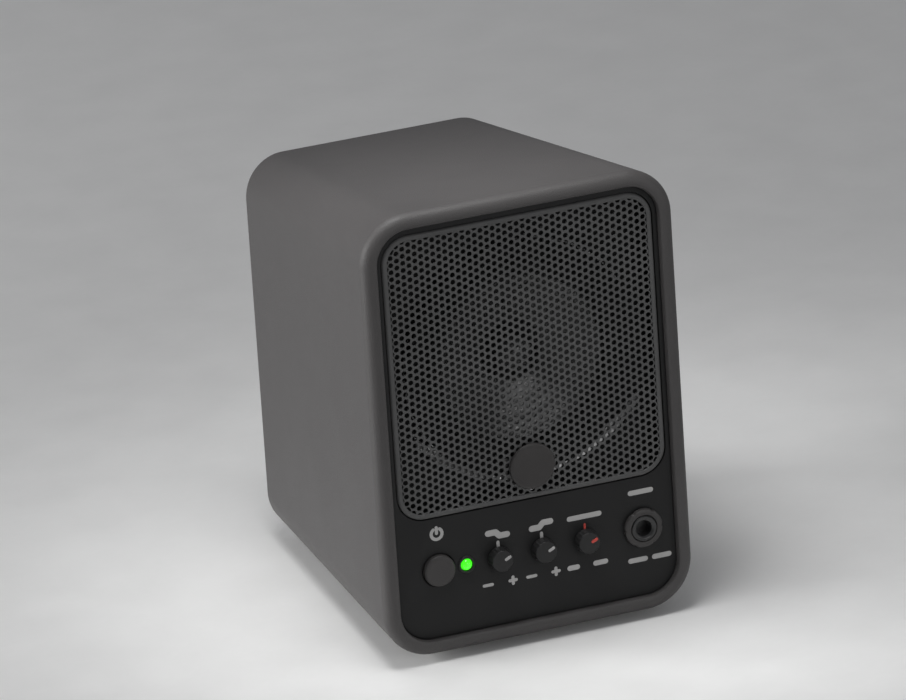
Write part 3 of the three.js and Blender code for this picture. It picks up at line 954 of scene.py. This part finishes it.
def bar(x, h, width, ends):
    """The line a pen follows for one thick stroke; ends is the length kept for its round ends."""
    half = (width - ends) / 2
    return [(x - half, h), (x + half, h)]


def shelf(x, h, rising):
    """The curve of a tone control: level, then a step."""
    step = [(-4.0, -0.8), (-0.8, -0.8), (0.8, 0.9), (4.0, 0.9)]
    return [(x + (sx if rising else -sx), h + sh) for sx, sh in step]


def plus(x, h, size=1.35):
    return [[(x - size, h), (x + size, h)], [(x, h - size), (x, h + size)]]


def minus(x, h, size=1.7):
    return [[(x - size, h), (x + size, h)]]


low_x, high_x, volume_x = KNOBS.values()
TITLE_H, TICK_LOW, TICK_HIGH = 44.8, 39.6, 41.4
SCALE_H, INPUT_H, JACK_MARK_H, POWER_H = 24.3, 50.3, 22.0, 50.0
BOLD_ENDS, HEAVY_ENDS = 1.9, 2.7
FINE_PEN, MARK_PEN, BAR_PEN, TITLE_PEN = 0.9, 1.3, 2.1, 2.5
power_mark = [
    arc_line(BUTTON_X, POWER_H, 2.3, 125, 415, 12),
    [(BUTTON_X, POWER_H + 0.2), (BUTTON_X, POWER_H + 2.6)],
]
small_marks = [
    *[[(x, TICK_LOW), (x, TICK_HIGH)] for x in (low_x, high_x)],
    *minus(low_x - 5.2, SCALE_H),
    *plus(low_x + 5.3, SCALE_H),
    *minus(high_x - 5.2, SCALE_H),
    *plus(high_x + 5.1, SCALE_H),
]
title_marks = [shelf(low_x, TITLE_H, rising=False), shelf(high_x, TITLE_H, rising=True)]
bold_marks = [
    bar(JACK_X - 2.7, JACK_MARK_H, 8.2, BOLD_ENDS),
    bar(JACK_X + 7.4, JACK_MARK_H, 8.2, BOLD_ENDS),
    bar(volume_x - 5.7, SCALE_H, 5.2, BOLD_ENDS),
    bar(volume_x + 5.8, SCALE_H, 6.2, BOLD_ENDS),
]
heavy_marks = [
    bar(volume_x, TITLE_H, 15.4, HEAVY_ENDS),
    bar(JACK_X, INPUT_H, 11.4, HEAVY_ENDS),
]
panel_marks = merge(
    "panel_marks",
    [
        strokes("small_marks", small_marks, MARK_PEN),
        strokes("power_mark", power_mark, MARK_PEN),
        strokes("bold_marks", bold_marks, BAR_PEN),
        strokes("heavy_marks", heavy_marks, BAR_PEN),
        strokes("title_marks", title_marks, TITLE_PEN),
    ],
)
dress(panel_marks, PRINT_WHITE)
volume_mark = [[(volume_x, TICK_LOW), (volume_x, TICK_HIGH)]]
dress(strokes("volume_mark", volume_mark, FINE_PEN), PRINT_RED)

# ---------------------------------------------------------------- rear, feet, fuse and wadding


def fuse():
    """A glass fuse across the drawer: two metal caps and a tube between them."""
    low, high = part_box("fuse_drawer")
    middle_d = (low.y - FRONT_Y) / MM + 6.0
    h = (low.z - FLOOR_Z) / MM + 4.4

    def across(x, d, side):
        return at(d - 10.0, middle_d + x, h + side)

    caps = []
    for start in (0.0, 14.5):
        end = start + 5.5
        profile = [(0, start), (2.3, start), (2.6, start + 0.4), (2.6, end), (0, end)]
        caps.append(lathe("cap", profile, points=32, place=across))
    tube = [(0, 5.2), (2.2, 5.2), (2.2, 14.8), (0, 14.8)]
    return merge("fuse_caps", caps), lathe("fuse_tube", tube, points=32, place=across)


fuse_caps, fuse_tube = fuse()
dress(fuse_caps, "zinc", "fuse_slide")
dress(fuse_tube, FUSE_GLASS, "fuse_slide")


def foot(name, node):
    low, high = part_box(node)
    middle = (low + high) / 2
    radius = (high.x - low.x) / 2 / MM

    def under(x, d, h):
        return Vector((middle.x + x * MM, middle.y + h * MM, low.z + d * MM))

    profile = [
        (0, 0.5),
        (3.2, 0.5),
        (3.6, 0.0),
        (radius - 1.0, 0.0),
        (radius - 0.3, 0.25),
        (radius, 0.9),
        (radius - 0.4, 2.7),
        (0, 2.7),
    ]
    return lathe(name, profile, points=56, place=under)


for place in ("front_left", "front_right", "rear_left", "rear_right"):
    dress(foot("pad_" + place, "foot_" + place), "rubber", nodes=["foot_" + place])


def wadding_pad():
    """A soft block, fullest in its middle, with a shallow fibrous relief."""
    low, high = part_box("acoustic_wadding")
    middle, half = (low + high) / 2, (high - low) / 2
    bm = bmesh.new()
    bmesh.ops.create_cube(bm, size=2.0)
    bmesh.ops.subdivide_edges(bm, edges=bm.edges[:], cuts=17, use_grid_fill=True)
    for vertex in bm.verts:
        p = vertex.co.copy()
        norm = (abs(p.x) ** 5 + abs(p.y) ** 5 + abs(p.z) ** 5) ** 0.2
        p = p / norm
        ripple = 1 - 0.03 * random.random()
        vertex.co = middle + Vector((p.x * half.x, p.y * half.y, p.z * half.z)) * ripple
    mesh = bpy.data.meshes.new("wadding_pad")
    bm.to_mesh(mesh)
    bm.free()
    return finish_mesh("wadding_pad", mesh, 80)


pad = wadding_pad()
dress(pad, "wadding", nodes=["acoustic_wadding"])

# ---------------------------------------------------------------- stage, light and camera


def ground():
    bm = bmesh.new()
    bmesh.ops.create_grid(bm, x_segments=8, y_segments=8, size=6)
    mesh = bpy.data.meshes.new("floor")
    bm.to_mesh(mesh)
    bm.free()
    floor = finish_mesh("floor", mesh)
    pale = material("floor_pale", (0.9, 0.9, 0.89), 0.6, grain=0.004, bump=0.01, variation=0.01)
    mesh.materials.append(pale)


def softbox(name, place, target, size, power, spread):
    light = bpy.data.lights.new(name, "AREA")
    light.shape = "RECTANGLE"
    light.size, light.size_y = size
    light.energy = power
    light.spread = math.radians(spread)
    lamp = bpy.data.objects.new(name, light)
    lamp.location = place
    lamp.visible_camera = False
    lamp.rotation_euler = (Vector(target) - Vector(place)).to_track_quat("-Z", "Y").to_euler()
    bpy.context.scene.collection.objects.link(lamp)


ground()
CENTRE = at(0, DEPTH / 2, HEIGHT / 2)
DRIVER = at(0, 8, DRIVER_H)
TOP = at(0, 30, HEIGHT)
# name, place, what it faces, size, watts, spread in degrees
LAMPS = (
    ("key_left", (-1.7, 0.3, 0.48), CENTRE, (0.9, 0.9), 29, 180),
    ("near_top", (-0.05, -0.08, 0.42), TOP, (0.25, 0.15), 0.27, 75),
    ("front", DRIVER + Vector((0.48, -1.87, 0.54)), DRIVER, (1.2, 0.22), 5.5, 180),
    ("front_right", DRIVER + Vector((1.5, -1.1, 0.25)), DRIVER, (0.25, 0.25), 2.2, 180),
)
for lamp in LAMPS:
    softbox(*lamp)

SKY, SKY_STRENGTH = (0.95, 0.96, 1.0, 1), 0.19
world = bpy.data.worlds.new("studio")
world.use_nodes = True
background = world.node_tree.nodes["Background"]
background.inputs["Color"].default_value = SKY
background.inputs["Strength"].default_value = SKY_STRENGTH
bpy.context.scene.world = world
bpy.context.scene.view_settings.view_transform = "Standard"

AZIMUTH, ELEVATION, ROLL = math.radians(-20.572), math.radians(20.31), math.radians(-3.8)
DISTANCE = 3.997
AIM_DEPTH, AIM_HEIGHT = 76, 92
OFF_CENTRE = (-0.00187, 0.0026)  # to the right and up, of the point aimed at
SENSOR = 36
IMAGE_WIDTH = 906
FOCAL_PIXELS = 10101


def photo_camera():
    forward = Vector(
        (
            -math.sin(AZIMUTH) * math.cos(ELEVATION),
            math.cos(AZIMUTH) * math.cos(ELEVATION),
            -math.sin(ELEVATION),
        )
    )
    level = Vector((math.cos(AZIMUTH), math.sin(AZIMUTH), 0))
    upright = level.cross(forward)
    right = math.cos(ROLL) * level + math.sin(ROLL) * upright
    up = math.cos(ROLL) * upright - math.sin(ROLL) * level
    data = bpy.data.cameras.new("camera")
    data.sensor_width = SENSOR
    data.lens = SENSOR * FOCAL_PIXELS / IMAGE_WIDTH
    data.clip_end = 50
    camera = bpy.data.objects.new("camera", data)
    aim = at(0, AIM_DEPTH, AIM_HEIGHT)
    place = aim - forward * DISTANCE + right * OFF_CENTRE[0] + up * OFF_CENTRE[1]
    camera.matrix_world = Matrix.Translation(place) @ Matrix(
        (
            (right.x, up.x, -forward.x, 0),
            (right.y, up.y, -forward.y, 0),
            (right.z, up.z, -forward.z, 0),
            (0, 0, 0, 1),
        )
    )
    bpy.context.scene.collection.objects.link(camera)
    bpy.context.scene.camera = camera


photo_camera()
